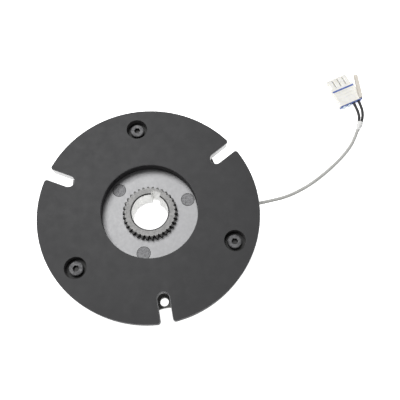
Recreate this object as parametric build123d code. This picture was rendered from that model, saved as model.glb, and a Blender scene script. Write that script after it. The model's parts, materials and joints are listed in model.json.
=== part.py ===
"""Spring-applied electromagnetic clutch with a slotted front plate and a splined hub.

The clutch stands on the back of its magnet body: the resting surface is Z = 0, the shaft axis is
the Z axis, and the slotted friction plate faces +Z. All lengths are millimetres.
"""

import math
import os

from build123d import *

# Front friction plate
PLATE_R = 76.2
PLATE_T = 7.94
PLATE_TOP_Z = 50.8
OPENING_R = 33.3
EDGE_BREAK = 0.4
PITCH_R = 61.9
SLOT_ANGLES = (39.65, 159.65, 279.65)
SLOT_W = 8.0
SLOT_END_R = 60.3
SLOT_MOUTH_ROUND = 2.0

# Screws that hold the unit together, and their spacer sleeves
SCREW_ANGLES = (99.65, 219.65, 339.65)
COUNTERBORE_R = 7.4
COUNTERBORE_DEPTH = 5.7
SCREW_HEAD_R = 4.76
SCREW_HEAD_H = 3.5
SCREW_SHANK_R = 3.15
SCREW_END_Z = 10.0
HEX_FLATS = 4.0
HEX_DEPTH = 2.8
SPACER_R = 5.25
CLEAR_HOLE_R = 3.3

# Splined hub
TEETH = 34
MODULE = 25.4 / 24
HUB_TIP_R = MODULE * (TEETH + 2) / 2
HUB_ROOT_R = MODULE * (TEETH - 2) / 2
HUB_FACE_R = 17.45
TOOTH_TIP_HALF = 0.42
TOOTH_ROOT_HALF = 1.2
HUB_TOP_Z = 46.8
HUB_LENGTH = 20.6
BORE_R = 12.7
BORE_BREAK = 0.6
KEYWAY_W = 6.35
KEYWAY_TOP_R = 15.6
KEYWAY_ANGLE = 74.0
SPLINE_CLEARANCE = 0.15

# Friction disc
FACE_GAP = 0.06
LINING_T = 1.35
CARRIER_T = 6.35
DISC_R = 53.0
LINING_INNER_R = 34.6
RIVET_R = 4.75
RIVET_PITCH_R = 28.4
RIVET_ANGLES = (22.0, 142.0, 262.0)
RIVET_GAP = 0.04
RIVET_BREAK = 0.3

# Armature
ARMATURE_T = 6.35
ARMATURE_R = 66.0
ARMATURE_BORE_R = 22.0
ARMATURE_TRAVEL = 0.4
RESIDUAL_GAP = 0.04
SPACER_NOTCH_R = 5.8
SLOT_NOTCH_HALF_W = 9.0
SLOT_NOTCH_R = 54.0

# Magnet body
BODY_R = 69.85
BODY_BORE_R = 24.5
GROOVE_INNER_R = 29.5
GROOVE_OUTER_R = 47.0
GROOVE_FLOOR_Z = 6.35
MOUNT_PITCH_R = 60.2
MOUNT_HOLE_R = 3.05
MOUNT_POCKET_W = 11.0
MOUNT_WEB = 5.0
SCALLOP_R = 20.0
SCALLOP_PITCH_R = 84.3
SPRING_ANGLES = tuple(9.65 + 60 * i for i in range(6))
SPRING_PITCH_R = 53.5
SPRING_POCKET_R = 3.6
SPRING_POCKET_Z = 12.0
SPRING_COIL_R = 2.5
SPRING_WIRE_R = 0.6
SPRING_TURNS = 6

# Coil
BOBBIN_WALL = 1.5
BOBBIN_GAP = 0.3
BOBBIN_TOP_Z = 24.4
POTTING_GAP = 0.05
POTTING_SINK = 0.1

# Lead, from the coil out through the side of the body
LEAD_ANGLE = 12.3
LEAD_Z = 9.4
LEAD_D = 2.8
LEAD_HOLE_R = 3.2
GROMMET_INNER_R = 60.0
GROMMET_TIP_R = 75.5
WIRE_D = 2.3

# Free cable: route points, by hand
CABLE_ROUTE = [
    (73.77, 16.08, 9.4),
    (90.5, 19.73, 9.4),
    (105.5, 25.4, 2.6),
    (118.8, 31.6, 1.45),
    (132.4, 40.2, 1.45),
    (146.3, 51.6, 1.45),
    (159.2, 64.1, 1.5),
    (167.9, 75.9, 2.65),
    (173.3, 88.82, 2.65),
]
SLEEVE_START = 10.4
SLEEVE_LENGTH = 8.0
SLEEVE_R = 2.6
SLEEVE_BORE_R = 2.36

# Wires from the end of the jacket to the connector: route points, by hand
LEFT_WIRE_ROUTE = [
    (172.21, 89.27, 2.65),
    (174.64, 95.09, 2.65),
    (175.0, 101.6, 2.6),
    (172.53, 110.47, 2.5),
    (168.79, 118.55, 2.5),
]
RIGHT_WIRE_ROUTE = [
    (174.39, 88.36, 2.65),
    (176.7, 93.9, 2.65),
    (178.85, 102.6, 2.6),
    (177.07, 112.57, 2.5),
    (173.33, 120.65, 2.5),
]

# Connector, in its own frame: X across the cavities, Y towards the mating end, Z up
CONNECTOR_AT = (169.25, 111.6)
CONNECTOR_ANGLE = 24.8
CONNECTOR_W = 22.4
CONNECTOR_H = 5.0
CONNECTOR_ROUND = 0.8
CAVITY_PITCH = 5.0
CAVITY_Z = 2.5
CAVITY_R = 1.3
PLUGGED = (0, 1)
WIRED = (2, 3)
REAR_SEAL_X = (-10.8, 10.8)
REAR_SEAL_Y = (-0.7, 3.0)
REAR_SEAL_Z = (0.4, 4.6)
WIRE_HOLE_R = 1.27
WIRE_DEPTH = 6.5
HOUSING_LENGTH = 17.5
FRONT_SEAL_X = (-10.8, 10.0)
FRONT_SEAL_Y = (13.8, 15.2)
FRONT_SEAL_BACK_Z = 0.4
FRONT_SEAL_T = 0.7
FRONT_SEAL_PROUD = 0.2
RIB_GAPS_Y = (5.5, 8.5, 11.5)
RIB_GAP_DEPTH = 0.15
SILO_LENGTH = 9.0
SILO_W = 4.3
SILO_H = 4.2
PLUG_OUT = 1.9
PLUG_HEAD_R = 1.6
BARREL_END_Y = 12.0
PIN_R = 0.75
LOCK_X = 7.6
LOCK_T = 3.0
LOCK_SIDE = [(0.8, 5.0), (4.5, 5.0), (20.5, 8.8), (20.5, 11.0), (19.0, 11.0), (0.8, 6.2)]
LOCK_SPLAY = 12.0

# Heights worked out from the stack
PLATE_BACK_Z = PLATE_TOP_Z - PLATE_T
FRONT_LINING_TOP_Z = PLATE_BACK_Z - FACE_GAP
CARRIER_TOP_Z = FRONT_LINING_TOP_Z - LINING_T
CARRIER_BACK_Z = CARRIER_TOP_Z - CARRIER_T
REAR_LINING_BACK_Z = CARRIER_BACK_Z - LINING_T
ARMATURE_TOP_Z = REAR_LINING_BACK_Z - FACE_GAP
ARMATURE_BACK_Z = ARMATURE_TOP_Z - ARMATURE_T
BODY_H = ARMATURE_BACK_Z - ARMATURE_TRAVEL - RESIDUAL_GAP


def polar(radius, degrees, z=0.0):
    """Point at a radius and an angle about the shaft axis."""
    angle = math.radians(degrees)
    return (radius * math.cos(angle), radius * math.sin(angle), z)


def rod(radius, z_low, z_high, at=(0, 0)):
    """Upright cylinder between two heights."""
    centre = Pos(at[0], at[1], (z_low + z_high) / 2)
    return centre * Cylinder(radius, z_high - z_low)


def ring(inner, outer, z_low, z_high):
    """Upright ring about the shaft axis."""
    return rod(outer, z_low, z_high) - rod(inner, z_low - 1, z_high + 1)


def at_angles(make, radius, angles):
    """One solid for each angle on a pitch circle."""
    return [make(polar(radius, angle)) for angle in angles]


def cut_all(solid, tools):
    """Solid with every tool cut away."""
    for tool in tools:
        solid = solid - tool
    return solid


def radial_slot(width, centre_r, end_r, angle, z_low, z_high):
    """Cutter with a round inner end that runs outwards along a radius."""
    length = end_r - centre_r
    straight = Pos(centre_r + length / 2, 0, (z_low + z_high) / 2) * Box(length, width, z_high - z_low)
    round_end = rod(width / 2, z_low, z_high, (centre_r, 0))
    return Rot(0, 0, angle) * (straight + round_end)


def spline_face(tip_r, root_r, pitch_half, tip_half, root_half):
    """Face with straight-sided teeth; the halves are half tooth widths in millimetres."""
    pitch_r = MODULE * TEETH / 2
    corners = []
    for tooth in range(TEETH):
        middle = 2 * math.pi * tooth / TEETH
        flank = [(root_r, root_half), (pitch_r, pitch_half), (tip_r, tip_half)]
        for radius, half in flank:
            corners.append((radius, middle - half / radius))
        for radius, half in reversed(flank):
            corners.append((radius, middle + half / radius))
    points = [(r * math.cos(a), r * math.sin(a)) for r, a in corners]
    return make_face(Polyline(*points, close=True))


def chamfered_rod(radius, z_low, z_high, size):
    """Cylinder with both ends chamfered."""
    body = rod(radius, z_low, z_high)
    return chamfer(body.edges().filter_by(GeomType.CIRCLE), size)


def make_front_plate():
    """Slotted friction plate with its opening and counterbored screw holes."""
    disc = Circle(PLATE_R) - Circle(OPENING_R)
    for angle in SLOT_ANGLES:
        slot = Pos(SLOT_END_R + 10, 0) * Rectangle(20, SLOT_W) + Pos(SLOT_END_R, 0) * Circle(SLOT_W / 2)
        disc = disc - Rot(0, 0, angle) * slot
    mouth = [v for v in disc.vertices() if Vector(v.X, v.Y, 0).length > PLATE_R - 0.1]
    disc = fillet(mouth, SLOT_MOUTH_ROUND)
    plate = extrude(Pos(0, 0, PLATE_BACK_Z) * disc, PLATE_T)
    plate = chamfer(plate.faces().sort_by(Axis.Z)[-1].edges(), EDGE_BREAK)
    floor_z = PLATE_TOP_Z - COUNTERBORE_DEPTH
    for angle in SCREW_ANGLES:
        x, y, _ = polar(PITCH_R, angle)
        plate = plate - rod(COUNTERBORE_R, floor_z, PLATE_TOP_Z + 1, (x, y))
        plate = plate - rod(CLEAR_HOLE_R, PLATE_BACK_Z - 1, floor_z + 1, (x, y))
    return plate


def make_plate_screw(at):
    """Low-head socket screw, thread drawn as a plain shank."""
    floor_z = PLATE_TOP_Z - COUNTERBORE_DEPTH
    top_z = floor_z + SCREW_HEAD_H
    head = rod(SCREW_HEAD_R, floor_z, top_z, at)
    head = chamfer(head.edges().filter_by(GeomType.CIRCLE).sort_by(Axis.Z)[-1], 0.5)
    hex_r = HEX_FLATS / 2 / math.cos(math.pi / 6)
    socket = extrude(Pos(at[0], at[1], top_z - HEX_DEPTH) * RegularPolygon(hex_r, 6), HEX_DEPTH + 1)
    shank = rod(SCREW_SHANK_R, SCREW_END_Z, floor_z + 0.5, at)
    return head + shank - socket


def make_spacer(at):
    """Sleeve that sets the distance from the magnet body to the plate."""
    outer = rod(SPACER_R, BODY_H, PLATE_BACK_Z, at)
    return outer - rod(CLEAR_HOLE_R, BODY_H - 1, PLATE_BACK_Z + 1, at)


def make_hub():
    """Toothed hub with its keyed bore."""
    low = HUB_TOP_Z - HUB_LENGTH
    pitch_half = math.pi * MODULE / 4
    face = spline_face(HUB_TIP_R, HUB_ROOT_R, pitch_half, TOOTH_TIP_HALF, TOOTH_ROOT_HALF)
    teeth = extrude(Pos(0, 0, low) * face, HUB_LENGTH)
    blank_r = HUB_TIP_R + 0.3
    hub = teeth & chamfered_rod(blank_r, low, HUB_TOP_Z, blank_r - HUB_FACE_R)
    bore = rod(BORE_R, low - 1, HUB_TOP_Z + 1)
    top_break = Pos(0, 0, HUB_TOP_Z - BORE_BREAK / 2) * Cone(BORE_R, BORE_R + BORE_BREAK, BORE_BREAK)
    low_break = Pos(0, 0, low + BORE_BREAK / 2) * Cone(BORE_R + BORE_BREAK, BORE_R, BORE_BREAK)
    mid_z = low + HUB_LENGTH / 2
    keyway = Pos(KEYWAY_TOP_R / 2, 0, mid_z) * Box(KEYWAY_TOP_R, KEYWAY_W, HUB_LENGTH + 2)
    return cut_all(hub, [bore, top_break, low_break, Rot(0, 0, KEYWAY_ANGLE) * keyway])


def make_carrier():
    """Friction disc's metal core, with an internal spline on the hub's teeth."""
    carrier = rod(DISC_R, CARRIER_BACK_Z, CARRIER_TOP_Z)
    gap = SPLINE_CLEARANCE
    halves = (math.pi * MODULE / 4 + gap, TOOTH_TIP_HALF + gap, TOOTH_ROOT_HALF + gap / 2)
    face = spline_face(HUB_TIP_R + 2 * gap, HUB_ROOT_R + 2 * gap, *halves)
    carrier = carrier - extrude(Pos(0, 0, CARRIER_BACK_Z - 1) * face, CARRIER_T + 2)
    holes = [
        rod(RIVET_R + RIVET_GAP, CARRIER_BACK_Z - 1, CARRIER_TOP_Z + 1, polar(RIVET_PITCH_R, angle))
        for angle in RIVET_ANGLES
    ]
    return cut_all(carrier, holes)


def make_rivet(at):
    """Flush rivet through the disc's core."""
    rivet = rod(RIVET_R, CARRIER_BACK_Z, CARRIER_TOP_Z, at)
    return chamfer(rivet.edges().filter_by(GeomType.CIRCLE), RIVET_BREAK)


def make_lining(z_low):
    """Friction ring."""
    return ring(LINING_INNER_R, DISC_R, z_low, z_low + LINING_T)


def make_armature():
    """Steel pressure plate, notched for the spacers and for the mounting screws."""
    plate = ring(ARMATURE_BORE_R, ARMATURE_R, ARMATURE_BACK_Z, ARMATURE_TOP_Z)
    low, high = ARMATURE_BACK_Z - 1, ARMATURE_TOP_Z + 1
    for angle in SCREW_ANGLES:
        plate = plate - radial_slot(2 * SPACER_NOTCH_R, PITCH_R, ARMATURE_R + 5, angle, low, high)
    for angle in SLOT_ANGLES:
        centre_r = SLOT_NOTCH_R + SLOT_NOTCH_HALF_W
        plate = plate - radial_slot(2 * SLOT_NOTCH_HALF_W, centre_r, ARMATURE_R + 5, angle, low, high)
    return plate


def make_magnet_body():
    """Steel field cup: coil groove, spring pockets, tapped holes and mounting holes."""
    body = ring(BODY_BORE_R, BODY_R, 0, BODY_H)
    rim = body.edges().filter_by(GeomType.CIRCLE).group_by(SortBy.RADIUS)[-1]
    body = chamfer(rim, 0.8)
    body = body - ring(GROOVE_INNER_R, GROOVE_OUTER_R, GROOVE_FLOOR_Z, BODY_H + 1)
    for angle in SLOT_ANGLES:
        at = polar(MOUNT_PITCH_R, angle)
        body = body - rod(MOUNT_HOLE_R, -1, BODY_H + 1, at)
        body = body - radial_slot(MOUNT_POCKET_W, MOUNT_PITCH_R, BODY_R + 5, angle, -1, BODY_H - MOUNT_WEB)
        body = body - rod(SCALLOP_R, -1, BODY_H + 1, polar(SCALLOP_PITCH_R, angle))
    for angle in SCREW_ANGLES:
        body = body - rod(SCREW_SHANK_R + 0.05, SCREW_END_Z - 2, BODY_H + 1, polar(PITCH_R, angle))
    for angle in SPRING_ANGLES:
        body = body - rod(SPRING_POCKET_R, SPRING_POCKET_Z, BODY_H + 1, polar(SPRING_PITCH_R, angle))
    wire_way = radial_rod(LEAD_D / 2 + 0.3, GROOVE_OUTER_R - 3, GROMMET_INNER_R + 1)
    grommet_way = radial_rod(LEAD_HOLE_R + 0.02, GROMMET_INNER_R, BODY_R + 2)
    return cut_all(body, [wire_way, grommet_way])


def radial_rod(radius, inner, outer, outer_radius=None):
    """Rod along the lead's radius, tapered when a second radius is given."""
    end_radius = radius if outer_radius is None else outer_radius
    length = outer - inner
    bar = Cylinder(radius, length) if end_radius == radius else Cone(radius, end_radius, length)
    lying = Pos(inner + length / 2, 0, LEAD_Z) * Rot(0, 90, 0) * bar
    return Rot(0, 0, LEAD_ANGLE) * lying


def make_spring(at):
    """Coil spring between its pocket and the armature."""
    margin = SPRING_WIRE_R + 0.05
    length = ARMATURE_BACK_Z - SPRING_POCKET_Z - 2 * margin
    path = Helix(pitch=length / SPRING_TURNS, height=length, radius=SPRING_COIL_R)
    section = Plane(origin=path @ 0, z_dir=path % 0) * Circle(SPRING_WIRE_R)
    wire = sweep(section, path=path, is_frenet=True)
    return Pos(at[0], at[1], SPRING_POCKET_Z + margin) * wire


def make_bobbin():
    """Moulded former for the winding, open outwards."""
    inner = GROOVE_INNER_R + BOBBIN_GAP
    outer = GROOVE_OUTER_R - BOBBIN_GAP
    low = GROOVE_FLOOR_Z
    block = ring(inner, outer, low, BOBBIN_TOP_Z)
    window = ring(inner + BOBBIN_WALL, outer + 1, low + BOBBIN_WALL, BOBBIN_TOP_Z - BOBBIN_WALL)
    return block - window


def make_winding():
    """Copper winding as one ring."""
    inner = GROOVE_INNER_R + BOBBIN_GAP + BOBBIN_WALL
    low = GROOVE_FLOOR_Z + BOBBIN_WALL
    return ring(inner, GROOVE_OUTER_R - 2.2, low, BOBBIN_TOP_Z - BOBBIN_WALL)


def make_potting():
    """Resin that closes the coil groove flush with the pole faces."""
    inner = GROOVE_INNER_R + POTTING_GAP
    return ring(inner, GROOVE_OUTER_R - POTTING_GAP, BOBBIN_TOP_Z, BODY_H - POTTING_SINK)


def make_grommet():
    """Rubber strain relief in the side of the body."""
    sleeve = radial_rod(LEAD_HOLE_R, GROMMET_INNER_R, BODY_R)
    nose = radial_rod(LEAD_HOLE_R + 0.8, BODY_R, GROMMET_TIP_R, LEAD_D / 2 + 0.5)
    return sleeve + nose - radial_rod(LEAD_D / 2, GROMMET_INNER_R - 1, GROMMET_TIP_R + 1)


def make_coil_lead():
    """Cable from the winding to the mouth of the grommet."""
    return radial_rod(LEAD_D / 2, GROOVE_OUTER_R - 2.1, GROMMET_TIP_R)


def corner_radii(points):
    """Largest arc radius that each corner's shorter run allows."""
    radii = []
    for before, here, after in zip(points, points[1:], points[2:]):
        run_in = Vector(*here) - Vector(*before)
        run_out = Vector(*after) - Vector(*here)
        half_turn = math.radians(run_in.get_angle(run_out)) / 2
        radii.append(0.45 * min(run_in.length, run_out.length) / math.tan(half_turn))
    return radii


def make_tube(name, points, diameter):
    """Cord of round section along straight runs joined by tangent arcs."""
    radii = corner_radii(points)
    path = FilletPolyline(*points, radius=radii)
    section = Plane(origin=path @ 0, z_dir=path % 0) * Circle(diameter / 2)
    tube = sweep(section, path=path)
    expected = math.pi * diameter**2 / 4 * path.length
    print(name, "length", round(path.length, 1), "radii", [round(r, 1) for r in radii])
    print(name, "volume", round(tube.volume, 1), "section times length", round(expected, 1))
    return tube


def make_cable_sleeve():
    """Shrink sleeve over the end of the cable jacket and the start of the wires."""
    start, end = Vector(*CABLE_ROUTE[-2]), Vector(*CABLE_ROUTE[-1])
    along = (end - start).normalized()
    base = Plane(origin=start + along * SLEEVE_START, z_dir=along)
    outer = extrude(base * Circle(SLEEVE_R), SLEEVE_LENGTH)
    return outer - extrude(base * Circle(SLEEVE_BORE_R), SLEEVE_LENGTH)


def connector_place():
    """Where the connector's own frame sits on the surface."""
    return Pos(CONNECTOR_AT[0], CONNECTOR_AT[1], 0) * Rot(0, 0, CONNECTOR_ANGLE)


def block(x_range, y_range, z_range):
    """Box between three pairs of limits."""
    spans = (x_range, y_range, z_range)
    sizes = [high - low for low, high in spans]
    middles = [(high + low) / 2 for low, high in spans]
    return Pos(*middles) * Box(*sizes)


def cavity_x(index):
    """Place of a cavity across the connector, counted from the left."""
    return CAVITY_PITCH * (index - 1.5)


def lying_rod(radius, x, z, y_low, y_high):
    """Cylinder along the connector's own Y."""
    middle = Pos(x, (y_low + y_high) / 2, z)
    return middle * Rot(90, 0, 0) * Cylinder(radius, y_high - y_low)


def make_connector_housing():
    """Moulded four-way housing with a contact silo for each cavity."""
    half = CONNECTOR_W / 2
    shell = block((-half, half), (0, HOUSING_LENGTH), (0, CONNECTOR_H))
    shell = fillet(shell.edges().filter_by(Axis.Y), CONNECTOR_ROUND)
    shell = shell - block(REAR_SEAL_X, REAR_SEAL_Y, REAR_SEAL_Z)
    shell = shell - front_seal_loop(CONNECTOR_H + 1)
    for y in RIB_GAPS_Y:
        gap = block((-half + 2.5, half - 2.5), (y, y + 0.8), (CONNECTOR_H - RIB_GAP_DEPTH, CONNECTOR_H + 1))
        shell = shell - gap
    silo_z = (CAVITY_Z - SILO_H / 2, CAVITY_Z + SILO_H / 2)
    silo_y = (HOUSING_LENGTH, HOUSING_LENGTH + SILO_LENGTH)
    for index in range(4):
        x = cavity_x(index)
        silo = block((x - SILO_W / 2, x + SILO_W / 2), silo_y, silo_z)
        shell = shell + fillet(silo.edges().filter_by(Axis.Y), CONNECTOR_ROUND)
    for index in range(4):
        shell = shell - lying_rod(CAVITY_R, cavity_x(index), CAVITY_Z, 0, silo_y[1] + 1)
    return connector_place() * shell


def make_rear_seal():
    """Mat seal in the back of the housing, with a hole for each cavity."""
    mat = block(REAR_SEAL_X, REAR_SEAL_Y, REAR_SEAL_Z)
    radii = [CAVITY_R if index in PLUGGED else WIRE_HOLE_R for index in range(4)]
    low, high = REAR_SEAL_Y[0] - 1, REAR_SEAL_Y[1] + 1
    holes = [lying_rod(r, cavity_x(index), CAVITY_Z, low, high) for index, r in enumerate(radii)]
    return connector_place() * cut_all(mat, holes)


def front_seal_loop(top_z):
    """Loop round the cavities, open to the top of the housing."""
    band = block(FRONT_SEAL_X, FRONT_SEAL_Y, (FRONT_SEAL_BACK_Z, top_z))
    core_x = (FRONT_SEAL_X[0] + FRONT_SEAL_T, FRONT_SEAL_X[1] - FRONT_SEAL_T)
    core_z = (FRONT_SEAL_BACK_Z + FRONT_SEAL_T, CONNECTOR_H - FRONT_SEAL_T)
    return band - block(core_x, FRONT_SEAL_Y, core_z)


def make_front_seal():
    """Interface seal, seen along the top of the housing."""
    return connector_place() * front_seal_loop(CONNECTOR_H + FRONT_SEAL_PROUD)


def make_cavity_plug(index):
    """Blanking plug in an unused cavity."""
    x = cavity_x(index)
    plug = lying_rod(CAVITY_R, x, CAVITY_Z, -PLUG_OUT, 6)
    head = lying_rod(PLUG_HEAD_R, x, CAVITY_Z, -PLUG_OUT, REAR_SEAL_Y[0] - 0.05)
    return connector_place() * (plug + head)


def make_terminal(index):
    """Crimped contact in a wired cavity."""
    x = cavity_x(index)
    barrel = lying_rod(CAVITY_R - 0.1, x, CAVITY_Z, WIRE_DEPTH, BARREL_END_Y)
    pin = lying_rod(PIN_R, x, CAVITY_Z, BARREL_END_Y - 0.5, HOUSING_LENGTH + SILO_LENGTH - 1.5)
    return connector_place() * (barrel + pin)


def make_lock():
    """Lock arm that rises forwards from its root on top of the housing."""
    side = make_face(Polyline(*[(0, y, z) for y, z in LOCK_SIDE], close=True))
    arm = extrude(side, LOCK_T, dir=(1, 0, 0))
    return connector_place() * Pos(LOCK_X, 0, 0) * Rot(0, 0, -LOCK_SPLAY) * arm


def cord_wire(name, route):
    """Insulated wire from the sleeve to its cavity."""
    return make_tube(name, route, WIRE_D)


def build_parts():
    """Every node by name."""
    return {
        "front_plate": make_front_plate(),
        "plate_screws": at_angles(make_plate_screw, PITCH_R, SCREW_ANGLES),
        "spacer_sleeves": at_angles(make_spacer, PITCH_R, SCREW_ANGLES),
        "splined_hub": make_hub(),
        "disc_carrier": make_carrier(),
        "carrier_rivets": at_angles(make_rivet, RIVET_PITCH_R, RIVET_ANGLES),
        "front_lining": make_lining(CARRIER_TOP_Z),
        "rear_lining": make_lining(REAR_LINING_BACK_Z),
        "armature_plate": make_armature(),
        "magnet_body": make_magnet_body(),
        "clutch_springs": at_angles(make_spring, SPRING_PITCH_R, SPRING_ANGLES),
        "coil_bobbin": make_bobbin(),
        "coil_winding": make_winding(),
        "coil_potting": make_potting(),
        "coil_lead": make_coil_lead(),
        "lead_grommet": make_grommet(),
        "lead_cable": make_tube("lead_cable", CABLE_ROUTE, LEAD_D),
        "cable_sleeve": make_cable_sleeve(),
        "left_wire": cord_wire("left_wire", LEFT_WIRE_ROUTE),
        "right_wire": cord_wire("right_wire", RIGHT_WIRE_ROUTE),
        "connector_housing": make_connector_housing(),
        "connector_rear_seal": make_rear_seal(),
        "connector_front_seal": make_front_seal(),
        "cavity_plugs": [make_cavity_plug(index) for index in PLUGGED],
        "wire_terminals": [make_terminal(index) for index in WIRED],
        "connector_lock": make_lock(),
    }


def main():
    os.makedirs("parts", exist_ok=True)
    for name, shape in build_parts().items():
        solids = shape if isinstance(shape, list) else [shape]
        node = Compound(label=name, children=[s for piece in solids for s in piece.solids()])
        export_step(node, os.path.join("parts", name + ".step"))


main()
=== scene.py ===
"""Looks of the electromagnetic clutch: materials, springs, cords and studio. Lengths are metres."""

import json
import math

import bpy
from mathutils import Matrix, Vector


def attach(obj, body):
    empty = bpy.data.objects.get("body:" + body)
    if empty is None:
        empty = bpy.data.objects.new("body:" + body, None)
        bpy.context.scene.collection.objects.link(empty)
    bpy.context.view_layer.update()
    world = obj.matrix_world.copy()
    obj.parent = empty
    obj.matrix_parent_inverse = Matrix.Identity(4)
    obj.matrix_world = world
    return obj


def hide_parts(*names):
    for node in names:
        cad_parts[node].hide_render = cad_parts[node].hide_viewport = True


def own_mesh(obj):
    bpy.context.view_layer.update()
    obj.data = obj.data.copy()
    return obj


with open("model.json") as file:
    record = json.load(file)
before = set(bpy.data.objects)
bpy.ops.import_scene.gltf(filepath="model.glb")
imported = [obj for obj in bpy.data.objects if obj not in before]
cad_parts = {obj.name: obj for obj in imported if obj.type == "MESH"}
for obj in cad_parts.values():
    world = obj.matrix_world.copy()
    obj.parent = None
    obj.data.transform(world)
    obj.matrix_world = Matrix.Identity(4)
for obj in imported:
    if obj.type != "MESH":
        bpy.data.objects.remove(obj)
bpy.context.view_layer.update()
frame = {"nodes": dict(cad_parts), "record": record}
nodes = frame["nodes"]

# Camera and studio
CAMERA_AT = (0.02161, -0.09392, 0.35993)
CAMERA_TILT = math.radians(18.12)
CAMERA_ROLL = math.radians(-2.30)
LENS_MM = 42.33
SENSOR_MM = 36.0
FLOOR_SIZE = 8.0
FLOOR_DROP = 0.0002
KEY_AT = (-0.225, 0.345, 1.02)
KEY_SIZE = 0.50
KEY_WATTS = 15.5
ZENITH_GLOW = 0.30
HORIZON_GLOW = 0.08
FLOOR_GLOW = 1.05

# Direction of the first of the three slots
SLOT_ANGLE = math.radians(39.65)

# Bounds between places of one steel part that have different finishes or painted light and shade
PLATE_RIM_R = 0.0759        # just inside the front plate's rim
PLATE_MIDDLE_R = 0.045      # between the plate's opening and its counterbores and slots
LOW_SLOT_Y = -0.03          # between the slot on the -Y side and the two others
COUNTERBORE_Z = 0.0495      # between the plate's face and the counterbores' floors
SOCKET_Z = 0.0480           # just below the tops of the screw heads
TOOTH_ENDS_R = 0.0172       # inside the sloping ends of the hub's teeth
TOOTH_FLANKS_R = 0.0165     # inside the gaps between the teeth
BORE_WALLS_R = 0.0159       # outside the bore and its keyway
BORE_RIM_R = 0.0136         # outside the bore's broken edge

# Cords, with the same route points as the CAD part
CABLE_D = 0.0028
WIRE_D = 0.0023
CABLE_ROUTE = [
    (0.07377, 0.01608, 0.0094),
    (0.0905, 0.01973, 0.0094),
    (0.1055, 0.0254, 0.0026),
    (0.1188, 0.0316, 0.00145),
    (0.1324, 0.0402, 0.00145),
    (0.1463, 0.0516, 0.00145),
    (0.1592, 0.0641, 0.0015),
    (0.1679, 0.0759, 0.00265),
    (0.1733, 0.08882, 0.00265),
]
LEFT_WIRE_ROUTE = [
    (0.17221, 0.08927, 0.00265),
    (0.17464, 0.09509, 0.00265),
    (0.175, 0.1016, 0.0026),
    (0.17253, 0.11047, 0.0025),
    (0.16879, 0.11855, 0.0025),
]
RIGHT_WIRE_ROUTE = [
    (0.17439, 0.08836, 0.00265),
    (0.1767, 0.0939, 0.00265),
    (0.17885, 0.1026, 0.0026),
    (0.17707, 0.11257, 0.0025),
    (0.17333, 0.12065, 0.0025),
]
SLEEVE_START = 0.0104
SLEEVE_LENGTH = 0.0080
SLEEVE_R = 0.0026
SLEEVE_WALL = 0.00024
SLEEVE_SIDES = 40

# Outside of the sleeve, as shares of its length and of its radius
SLEEVE_PROFILE = [
    (0.0, 0.66),
    (0.03, 0.68),
    (0.20, 0.68),
    (0.34, 0.84),
    (0.48, 1.0),
    (0.96, 1.0),
    (1.0, 0.99),
]


def add_object(name, data):
    """New object in the scene that holds the mesh, curve, light or camera."""
    made = bpy.data.objects.new(name, data)
    bpy.context.scene.collection.objects.link(made)
    return made


# Materials ---------------------------------------------------------------------------------------


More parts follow.
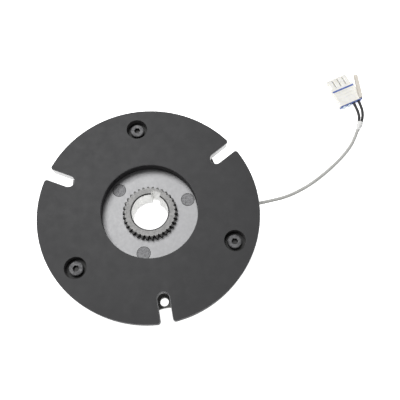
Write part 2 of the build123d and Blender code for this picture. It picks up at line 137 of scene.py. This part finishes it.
class Finish:
    """A node material, with its colour, roughness and bump built from procedural textures."""

    def __init__(self, name, colour, roughness, metallic=0.0):
        self.material = bpy.data.materials.new(name)
        self.material.use_nodes = True
        self.tree = self.material.node_tree
        self.shader = self.tree.nodes["Principled BSDF"]
        self.set("Base Color", (*colour, 1.0))
        self.set("Roughness", roughness)
        self.set("Metallic", metallic)
        self.place = self.node("ShaderNodeTexCoord").outputs["Object"]
        self.last_bump = None

    def set(self, socket, value):
        self.shader.inputs[socket].default_value = value

    def node(self, kind, **settings):
        made = self.tree.nodes.new(kind)
        for name, value in settings.items():
            setattr(made, name, value)
        return made

    def link(self, source, target):
        self.tree.links.new(source, target)

    def noise(self, grain, detail=3.0):
        """Soft noise whose lumps are about grain metres across."""
        mapping = self.node("ShaderNodeMapping")
        mapping.inputs["Scale"].default_value = [1 / grain] * 3
        texture = self.node("ShaderNodeTexNoise")
        texture.inputs["Scale"].default_value = 1.0
        texture.inputs["Detail"].default_value = detail
        self.link(self.place, mapping.inputs["Vector"])
        self.link(mapping.outputs["Vector"], texture.inputs["Vector"])
        return texture.outputs["Fac"]

    def rings(self, spacing, wobble=0.5):
        """Turning marks round the shaft axis."""
        texture = self.node("ShaderNodeTexWave", wave_type="RINGS", rings_direction="Z")
        texture.inputs["Scale"].default_value = math.pi / (10 * spacing)
        texture.inputs["Distortion"].default_value = wobble
        texture.inputs["Detail"].default_value = 2.0
        self.link(self.place, texture.inputs["Vector"])
        return texture.outputs["Fac"]

    def lines(self, spacing, direction):
        """Bands side by side along the direction, such as the turns of a winding."""
        texture = self.node("ShaderNodeTexWave", wave_type="BANDS", bands_direction=direction)
        texture.inputs["Scale"].default_value = math.pi / (10 * spacing)
        texture.inputs["Distortion"].default_value = 3.0
        self.link(self.place, texture.inputs["Vector"])
        return texture.outputs["Fac"]

    def remap(self, value, low, high, start, end):
        """A value between start and end becomes one between low and high."""
        made = self.node("ShaderNodeMapRange")
        made.inputs["From Min"].default_value = start
        made.inputs["From Max"].default_value = end
        made.inputs["To Min"].default_value = low
        made.inputs["To Max"].default_value = high
        self.link(value, made.inputs["Value"])
        return made.outputs["Result"]

    def tint(self, value, other, start=0.35, end=0.65):
        """Colour that goes from what it was to another where the value is high."""
        self.mix("RGBA", "Base Color", (*other, 1.0), self.remap(value, 0.0, 1.0, start, end))

    def mix(self, kind, socket, other, share):
        """Mixes another value into what the shader's socket had until now."""
        target = self.shader.inputs[socket]
        made = self.node("ShaderNodeMix", data_type=kind)
        if target.is_linked:
            self.link(target.links[0].from_socket, made.inputs["A"])
        else:
            made.inputs["A"].default_value = target.default_value
        made.inputs["B"].default_value = other
        self.link(share, made.inputs["Factor"])
        self.link(made.outputs["Result"], target)

    def vary_roughness(self, value, low, high):
        """Roughness that goes from low to high with the value."""
        self.link(self.remap(value, low, high, 0.3, 0.7), self.shader.inputs["Roughness"])

    def bump(self, value, depth, strength):
        """Relief of that depth in metres, on top of any relief before it."""
        made = self.node("ShaderNodeBump")
        made.inputs["Distance"].default_value = depth
        made.inputs["Strength"].default_value = strength
        self.link(value, made.inputs["Height"])
        if self.last_bump:
            self.link(self.last_bump, made.inputs["Normal"])
        self.last_bump = made.outputs["Normal"]
        self.link(self.last_bump, self.shader.inputs["Normal"])

    def along(self, vector, axis):
        """Part of a vector that lies along the axis."""
        split = self.node("ShaderNodeSeparateXYZ")
        self.link(vector, split.inputs["Vector"])
        return split.outputs[axis]

    def upward(self):
        """Upward share of the face's normal, from minus one to one."""
        return self.along(self.node("ShaderNodeNewGeometry").outputs["True Normal"], "Z")

    def facing_up(self):
        """One on faces that look up, otherwise nought."""
        return self.math("GREATER_THAN", self.upward(), 0.5)

    def walls(self):
        """One on upright faces, otherwise nought."""
        return self.math("COMPARE", self.upward(), 0.0, 0.2)

    def chamfers(self):
        """One on faces that slope upwards, which are the broken edges, otherwise nought."""
        return self.math("COMPARE", self.upward(), 0.7, 0.2)

    def inside(self, radius):
        """One nearer to the shaft axis than the radius, otherwise nought."""
        flat = self.node("ShaderNodeVectorMath", operation="MULTIPLY")
        flat.inputs[1].default_value = (1.0, 1.0, 0.0)
        self.link(self.place, flat.inputs[0])
        length = self.node("ShaderNodeVectorMath", operation="LENGTH")
        self.link(flat.outputs["Vector"], length.inputs[0])
        return self.math("LESS_THAN", length.outputs["Value"], radius)

    def below(self, limit, axis="Z"):
        """One where the place along the axis is less than the limit, otherwise nought."""
        return self.math("LESS_THAN", self.along(self.place, axis), limit)

    def floors(self, height):
        """One on faces that look up from below the height, otherwise nought."""
        return self.math("MULTIPLY", self.below(height), self.facing_up())

    def beside_slots(self):
        """One in the three sectors that hold the slots, otherwise nought."""
        turn = self.math("ARCTAN2", self.along(self.place, "Y"), self.along(self.place, "X"))
        lobes = self.math("COSINE", self.math("MULTIPLY_ADD", turn, 3.0, -3 * SLOT_ANGLE))
        return self.math("GREATER_THAN", lobes, 0.0)

    def math(self, operation, *values):
        """Result of a sum or comparison of numbers and other results."""
        made = self.node("ShaderNodeMath", operation=operation)
        for socket, value in zip(made.inputs, values):
            if isinstance(value, (int, float)):
                socket.default_value = value
            else:
                self.link(value, socket)
        return made.outputs[0]

    def where(self, mask, colour, **scalars):
        """Another colour, and other shader values, where the mask is one."""
        self.mix("RGBA", "Base Color", (*colour, 1.0), mask)
        for socket, value in scalars.items():
            self.mix("FLOAT", socket, value, mask)


def phosphated_steel():
    made = Finish("phosphated_steel", (0.026, 0.026, 0.0272), 0.60)
    made.tint(made.noise(0.030, 3.0), (0.028, 0.028, 0.0292))
    made.tint(made.noise(0.0035, 5.0), (0.031, 0.031, 0.0324), 0.50, 0.85)
    made.vary_roughness(made.noise(0.006), 0.57, 0.63)
    belt = made.math("SUBTRACT", made.inside(PLATE_RIM_R), made.inside(PLATE_MIDDLE_R))
    cut_walls = made.math("MULTIPLY", made.walls(), belt)
    # Painted light: the walls of the counterbores are painted lighter than the face, lifting the
    # shade they stand in.
    made.where(cut_walls, (0.12, 0.118, 0.12))
    slot_walls = made.math("MULTIPLY", cut_walls, made.beside_slots())
    made.where(slot_walls, (0.40, 0.40, 0.40), Metallic=0.6, Roughness=0.36)
    # Painted shade: the walls of the slot on the -Y side are painted darker and duller, standing in
    # for the dark magnet body they reflect.
    low_slot_painted_shade = made.math("MULTIPLY", slot_walls, made.below(LOW_SLOT_Y, "Y"))
    made.where(low_slot_painted_shade, (0.13, 0.13, 0.13), Metallic=0.2, Roughness=0.5)
    # Painted shade: the floors of the counterbores are painted near-black, as if in deep shade.
    made.where(made.floors(COUNTERBORE_Z), (0.012, 0.012, 0.012))
    # Painted highlight: the broken edges are painted lighter, as if catching the light.
    made.where(made.chamfers(), (0.17, 0.17, 0.175))
    # The chamfer round the opening gets a dimmer painted highlight.
    opening_edge = made.math("MULTIPLY", made.chamfers(), made.inside(PLATE_MIDDLE_R))
    made.where(opening_edge, (0.07, 0.07, 0.072))
    made.bump(made.noise(0.0007, 5.0), 0.00003, 0.35)
    made.set("Specular IOR Level", 0.22)
    return made.material


def body_steel():
    made = Finish("body_steel", (0.085, 0.085, 0.078), 0.5, 0.2)
    made.tint(made.noise(0.018, 4.0), (0.115, 0.113, 0.102))
    # Painted light: the faces that look up are painted lighter, lifting the shade they lie in under
    # the front plate.
    made.where(made.facing_up(), (0.22, 0.22, 0.21))
    made.vary_roughness(made.noise(0.004), 0.42, 0.6)
    made.bump(made.rings(0.0006), 0.00002, 0.5)
    made.bump(made.noise(0.0009, 4.0), 0.00004, 0.4)
    return made.material


def oiled_steel():
    made = Finish("oiled_steel", (0.095, 0.095, 0.098), 0.6, 0.15)
    made.tint(made.noise(0.0016, 4.0), (0.044, 0.044, 0.046), 0.42, 0.62)
    # Painted shade: everything below the tops of the screw heads, the hex sockets with it, is
    # painted near-black.
    made.where(made.below(SOCKET_Z), (0.02, 0.02, 0.02))
    made.vary_roughness(made.noise(0.0015), 0.52, 0.68)
    made.set("Specular IOR Level", 0.3)
    made.bump(made.rings(0.0005), 0.00002, 0.4)
    made.bump(made.noise(0.0004, 4.0), 0.00004, 0.5)
    return made.material


def zinc_steel():
    made = Finish("zinc_steel", (0.36, 0.36, 0.365), 0.42, 0.75)
    made.tint(made.noise(0.003, 4.0), (0.25, 0.25, 0.255))
    made.vary_roughness(made.noise(0.0015), 0.34, 0.52)
    made.bump(made.noise(0.0004, 4.0), 0.00003, 0.4)
    return made.material


def turned_steel():
    made = Finish("turned_steel", (0.18, 0.179, 0.177), 0.6, 0.2)
    made.tint(made.noise(0.003, 5.0), (0.215, 0.213, 0.210), 0.42, 0.58)
    made.tint(made.noise(0.0012, 4.0), (0.12, 0.119, 0.117), 0.55, 0.85)
    made.vary_roughness(made.noise(0.0012), 0.52, 0.66)
    # Painted shade: the sloping ends of the teeth are painted darker.
    tooth_ends = made.math("SUBTRACT", made.chamfers(), made.inside(TOOTH_ENDS_R))
    made.where(made.math("MAXIMUM", tooth_ends, 0.0), (0.13, 0.129, 0.127))
    # Painted shade: the flanks of the teeth and the gaps between them are painted dark.
    flanks = made.math("SUBTRACT", made.walls(), made.inside(TOOTH_FLANKS_R))
    made.where(made.math("MAXIMUM", flanks, 0.0), (0.07, 0.07, 0.068))
    # Painted light: the walls of the bore and keyway are painted near-white, standing in for the
    # glowing floor's light they reflect.
    bore_walls = made.math("MULTIPLY", made.inside(BORE_WALLS_R), made.walls())
    made.where(bore_walls, (0.97, 0.97, 0.955), Metallic=0.3, Roughness=0.3)
    # Painted shade: the bore's broken edge is painted as a dark ring.
    rim = made.math("MULTIPLY", made.inside(BORE_RIM_R), made.facing_up())
    made.where(rim, (0.035, 0.035, 0.035))
    made.set("Specular IOR Level", 0.3)
    made.bump(made.rings(0.0004), 0.000018, 0.6)
    made.bump(made.noise(0.0006, 5.0), 0.00002, 0.4)
    return made.material


def disc_metal():
    made = Finish("disc_metal", (0.275, 0.275, 0.281), 0.58, 0.12)
    made.tint(made.noise(0.014, 4.0), (0.29, 0.29, 0.296))
    made.tint(made.noise(0.0016, 4.0), (0.255, 0.255, 0.261), 0.5, 0.9)
    made.vary_roughness(made.noise(0.002), 0.54, 0.62)
    made.bump(made.rings(0.0007, 1.5), 0.000010, 0.4)
    made.bump(made.noise(0.0008, 5.0), 0.000012, 0.35)
    return made.material


def rivet_metal():
    made = Finish("rivet_metal", (0.15, 0.15, 0.155), 0.7, 0.1)
    made.tint(made.noise(0.0016, 5.0), (0.22, 0.22, 0.226))
    made.tint(made.noise(0.0009, 3.0), (0.06, 0.06, 0.062), 0.52, 0.7)
    made.vary_roughness(made.noise(0.0008), 0.62, 0.78)
    # Painted shade: the broken edges of the rivet heads are painted as a dark outline.
    made.where(made.chamfers(), (0.03, 0.03, 0.03))
    made.set("Specular IOR Level", 0.2)
    made.bump(made.noise(0.0005, 5.0), 0.00004, 0.5)
    return made.material


def friction_lining():
    made = Finish("friction_lining", (0.055, 0.045, 0.04), 0.85)
    made.tint(made.noise(0.0009, 5.0), (0.12, 0.10, 0.085), 0.5, 0.62)
    made.tint(made.noise(0.0005, 2.0), (0.45, 0.30, 0.14), 0.70, 0.74)
    made.bump(made.noise(0.0006, 5.0), 0.00012, 0.8)
    return made.material


def ground_steel():
    made = Finish("ground_steel", (0.27, 0.27, 0.276), 0.42, 0.8)
    made.tint(made.noise(0.008, 4.0), (0.21, 0.21, 0.215))
    made.vary_roughness(made.noise(0.002), 0.36, 0.52)
    made.bump(made.rings(0.0005, 2.0), 0.00001, 0.5)
    return made.material


def spring_steel():
    made = Finish("spring_steel", (0.20, 0.20, 0.21), 0.35, 0.85)
    made.tint(made.noise(0.002, 3.0), (0.28, 0.27, 0.26))
    made.bump(made.noise(0.0003, 3.0), 0.00001, 0.4)
    return made.material


def bobbin_plastic():
    made = Finish("bobbin_plastic", (0.06, 0.06, 0.065), 0.55)
    made.tint(made.noise(0.004), (0.08, 0.08, 0.085))
    made.bump(made.noise(0.0006), 0.00003, 0.4)
    return made.material


def copper_wire():
    made = Finish("copper_wire", (0.62, 0.24, 0.10), 0.3, 0.9)
    made.tint(made.noise(0.003), (0.50, 0.18, 0.07))
    made.bump(made.lines(0.0005, "Z"), 0.0002, 0.8)
    return made.material


def potting_resin():
    made = Finish("potting_resin", (0.03, 0.03, 0.032), 0.32)
    made.tint(made.noise(0.006), (0.045, 0.045, 0.045))
    made.bump(made.noise(0.004, 2.0), 0.0002, 0.4)
    return made.material


def cable_jacket():
    made = Finish("cable_jacket", (0.36, 0.36, 0.345), 0.75)
    made.tint(made.noise(0.008, 2.0), (0.39, 0.39, 0.375))
    made.vary_roughness(made.noise(0.002), 0.70, 0.78)
    made.set("Specular IOR Level", 0.15)
    made.bump(made.noise(0.0012, 2.0), 0.00001, 0.3)
    return made.material


def black_rubber():
    made = Finish("black_rubber", (0.022, 0.022, 0.022), 0.7)
    made.tint(made.noise(0.002), (0.035, 0.035, 0.035))
    made.bump(made.noise(0.0005), 0.00004, 0.4)
    return made.material


def shrink_sleeve():
    made = Finish("shrink_sleeve", (0.88, 0.88, 0.87), 0.45)
    made.tint(made.noise(0.003), (0.84, 0.84, 0.83))
    made.bump(made.noise(0.0016), 0.00003, 0.4)
    made.set("Specular IOR Level", 0.3)
    made.set("Alpha", 0.50)
    return made.material


def wire_insulation():
    made = Finish("wire_insulation", (0.030, 0.030, 0.031), 0.6)
    made.tint(made.noise(0.004), (0.038, 0.038, 0.039))
    made.set("Specular IOR Level", 0.2)
    made.bump(made.noise(0.0010, 2.0), 0.00001, 0.3)
    return made.material


def natural_nylon():
    made = Finish("natural_nylon", (0.70, 0.695, 0.665), 0.42)
    made.tint(made.noise(0.006, 3.0), (0.64, 0.63, 0.595))
    made.bump(made.noise(0.0009, 3.0), 0.00003, 0.4)
    made.set("Subsurface Weight", 0.15)
    made.set("Subsurface Radius", (0.002, 0.0018, 0.0012))
    return made.material


def lock_nylon():
    # Painted shade: the lock is the connector's nylon painted darker and beige, as if it stood in
    # shade.
    made = Finish("lock_nylon", (0.58, 0.54, 0.48), 0.45)
    made.tint(made.noise(0.004, 3.0), (0.62, 0.585, 0.525))
    made.bump(made.noise(0.0009, 3.0), 0.00003, 0.4)
    return made.material


def blue_silicone():
    made = Finish("blue_silicone", (0.060, 0.105, 0.32), 0.5)
    made.tint(made.noise(0.002), (0.080, 0.130, 0.38))
    made.bump(made.noise(0.0006), 0.00003, 0.4)
    return made.material


def plug_silicone():
    made = Finish("plug_silicone", (0.55, 0.64, 0.70), 0.5)
    made.tint(made.noise(0.002), (0.60, 0.69, 0.75))
    made.bump(made.noise(0.0006), 0.00003, 0.4)
    return made.material


def tinned_contact():
    made = Finish("tinned_contact", (0.70, 0.69, 0.66), 0.25, 1.0)
    made.tint(made.noise(0.002), (0.60, 0.59, 0.56))
    made.bump(made.noise(0.0005), 0.00001, 0.4)
    return made.material


FINISHES = {
    "phosphated_steel": phosphated_steel(),
    "body_steel": body_steel(),
    "oiled_steel": oiled_steel(),
    "zinc_steel": zinc_steel(),
    "turned_steel": turned_steel(),
    "disc_metal": disc_metal(),
    "rivet_metal": rivet_metal(),
    "friction_lining": friction_lining(),
    "ground_steel": ground_steel(),
    "spring_steel": spring_steel(),
    "bobbin_plastic": bobbin_plastic(),
    "copper_wire": copper_wire(),
    "potting_resin": potting_resin(),
    "cable_jacket": cable_jacket(),
    "black_rubber": black_rubber(),
    "shrink_sleeve": shrink_sleeve(),
    "wire_insulation": wire_insulation(),
    "natural_nylon": natural_nylon(),
    "lock_nylon": lock_nylon(),
    "blue_silicone": blue_silicone(),
    "plug_silicone": plug_silicone(),
    "tinned_contact": tinned_contact(),
}


def dress_cad_nodes():
    """Gives every CAD node the finish of its material slot."""
    for part in frame["record"]["subparts"]:
        piece = nodes[part["node"]]
        piece.data.materials.clear()
        piece.data.materials.append(FINISHES[part["material_slot"]])


# Springs -----------------------------------------------------------------------------------------


def shortening_springs():
    """The springs again, as a copy of the CAD piece with a mesh of its own, tied to the root."""
    springs = add_object("pressed_springs", nodes["clutch_springs"].data.copy())
    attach(springs, "root")
    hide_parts("clutch_springs")
    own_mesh(springs)


# Cords -------------------------------------------------------------------------------------------


def nurbs_cord(name, route, diameter, slot, node):
    """Round cord along a smooth line with the route's points as control points."""
    curve = bpy.data.curves.new(name, "CURVE")
    curve.dimensions = "3D"
    curve.bevel_depth = diameter / 2
    curve.bevel_resolution = 6
    curve.resolution_u = 16
    curve.use_fill_caps = True
    spline = curve.splines.new("NURBS")
    spline.points.add(len(route) - 1)
    for point, place in zip(spline.points, route):
        point.co = (*place, 1.0)
    spline.order_u = 3
    spline.use_endpoint_u = True
    curve.materials.append(FINISHES[slot])
    cord = add_object(name, curve)
    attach(cord, "root")
    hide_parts(node)
    return cord


def shrink_tube(name, start, end):
    """Open translucent tube, wider over the two wires than over the jacket."""
    along = (end - start).normalized()
    side = along.cross(Vector((0, 0, 1))).normalized()
    up = side.cross(along)
    inner = [(t, r - SLEEVE_WALL / SLEEVE_R) for t, r in reversed(SLEEVE_PROFILE)]
    profile = SLEEVE_PROFILE + inner
    points = []
    for t, r in profile:
        centre = start.lerp(end, t)
        for step in range(SLEEVE_SIDES):
            turn = 2 * math.pi * step / SLEEVE_SIDES
            offset = side * math.cos(turn) + up * math.sin(turn)
            points.append(tuple(centre + offset * (r * SLEEVE_R)))
    faces = []
    for row in range(len(profile)):
        here = row * SLEEVE_SIDES
        there = (row + 1) % len(profile) * SLEEVE_SIDES
        for step in range(SLEEVE_SIDES):
            beside = (step + 1) % SLEEVE_SIDES
            faces.append((here + step, here + beside, there + beside, there + step))
    mesh = bpy.data.meshes.new(name)
    mesh.from_pydata(points, [], faces)
    mesh.shade_smooth()
    mesh.update()
    mesh.materials.append(FINISHES["shrink_sleeve"])
    tube = add_object(name, mesh)
    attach(tube, "root")
    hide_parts("cable_sleeve")
    return tube


def build_cords():
    """The cable, its sleeve and the two wires to the connector."""
    last, tip = Vector(CABLE_ROUTE[-2]), Vector(CABLE_ROUTE[-1])
    along = (tip - last).normalized()
    sleeve_from = last + along * SLEEVE_START
    sleeve = shrink_tube("clear_sleeve", sleeve_from, sleeve_from + along * SLEEVE_LENGTH)
    cable = nurbs_cord("grey_cable", CABLE_ROUTE, CABLE_D, "cable_jacket", "lead_cable")
    left = nurbs_cord("left_black_wire", LEFT_WIRE_ROUTE, WIRE_D, "wire_insulation", "left_wire")
    right = nurbs_cord("right_black_wire", RIGHT_WIRE_ROUTE, WIRE_D, "wire_insulation", "right_wire")


# Studio ------------------------------------------------------------------------------------------


def glowing_floor():
    """White floor that is lit a little from within, like a light table."""
    mesh = bpy.data.meshes.new("floor")
    half = FLOOR_SIZE / 2
    corners = [(-half, -half, 0), (half, -half, 0), (half, half, 0), (-half, half, 0)]
    mesh.from_pydata(corners, [], [(0, 1, 2, 3)])
    floor = add_object("floor", mesh)
    floor.location.z = -FLOOR_DROP
    finish = Finish("floor_white", (0.80, 0.80, 0.80), 0.9)
    finish.set("Emission Color", (1.0, 1.0, 1.0, 1.0))
    finish.set("Emission Strength", FLOOR_GLOW)
    mesh.materials.append(finish.material)


def key_light():
    """Soft square light that faces the clutch."""
    light = bpy.data.lights.new("key", "AREA")
    light.size = KEY_SIZE
    light.energy = KEY_WATTS
    lamp = add_object("key", light)
    lamp.location = KEY_AT
    lamp.rotation_euler = (-Vector(KEY_AT)).to_track_quat("-Z", "Y").to_euler()


def sky():
    """White light that is strongest overhead, like a studio's ceiling."""
    world = bpy.data.worlds.new("studio")
    world.use_nodes = True
    tree = world.node_tree
    direction = tree.nodes.new("ShaderNodeTexCoord").outputs["Generated"]
    split = tree.nodes.new("ShaderNodeSeparateXYZ")
    tree.links.new(direction, split.inputs["Vector"])
    glow = tree.nodes.new("ShaderNodeMapRange")
    glow.inputs["From Min"].default_value = 0.0
    glow.inputs["From Max"].default_value = 1.0
    glow.inputs["To Min"].default_value = HORIZON_GLOW
    glow.inputs["To Max"].default_value = ZENITH_GLOW
    tree.links.new(split.outputs["Z"], glow.inputs["Value"])
    background = tree.nodes["Background"]
    background.inputs["Color"].default_value = (1.0, 1.0, 1.0, 1.0)
    tree.links.new(glow.outputs["Result"], background.inputs["Strength"])
    bpy.context.scene.world = world


def camera():
    """Camera above the clutch, leaning back towards -Y."""
    data = bpy.data.cameras.new("camera")
    data.lens = LENS_MM
    data.sensor_width = SENSOR_MM
    data.clip_start = 0.01
    eye = add_object("camera", data)
    eye.location = CAMERA_AT
    eye.rotation_mode = "ZYX"
    eye.rotation_euler = (CAMERA_TILT, CAMERA_ROLL, 0.0)
    bpy.context.scene.camera = eye


dress_cad_nodes()
shortening_springs()
build_cords()
glowing_floor()
key_light()
sky()
camera()
bpy.context.scene.view_settings.view_transform = "Standard"
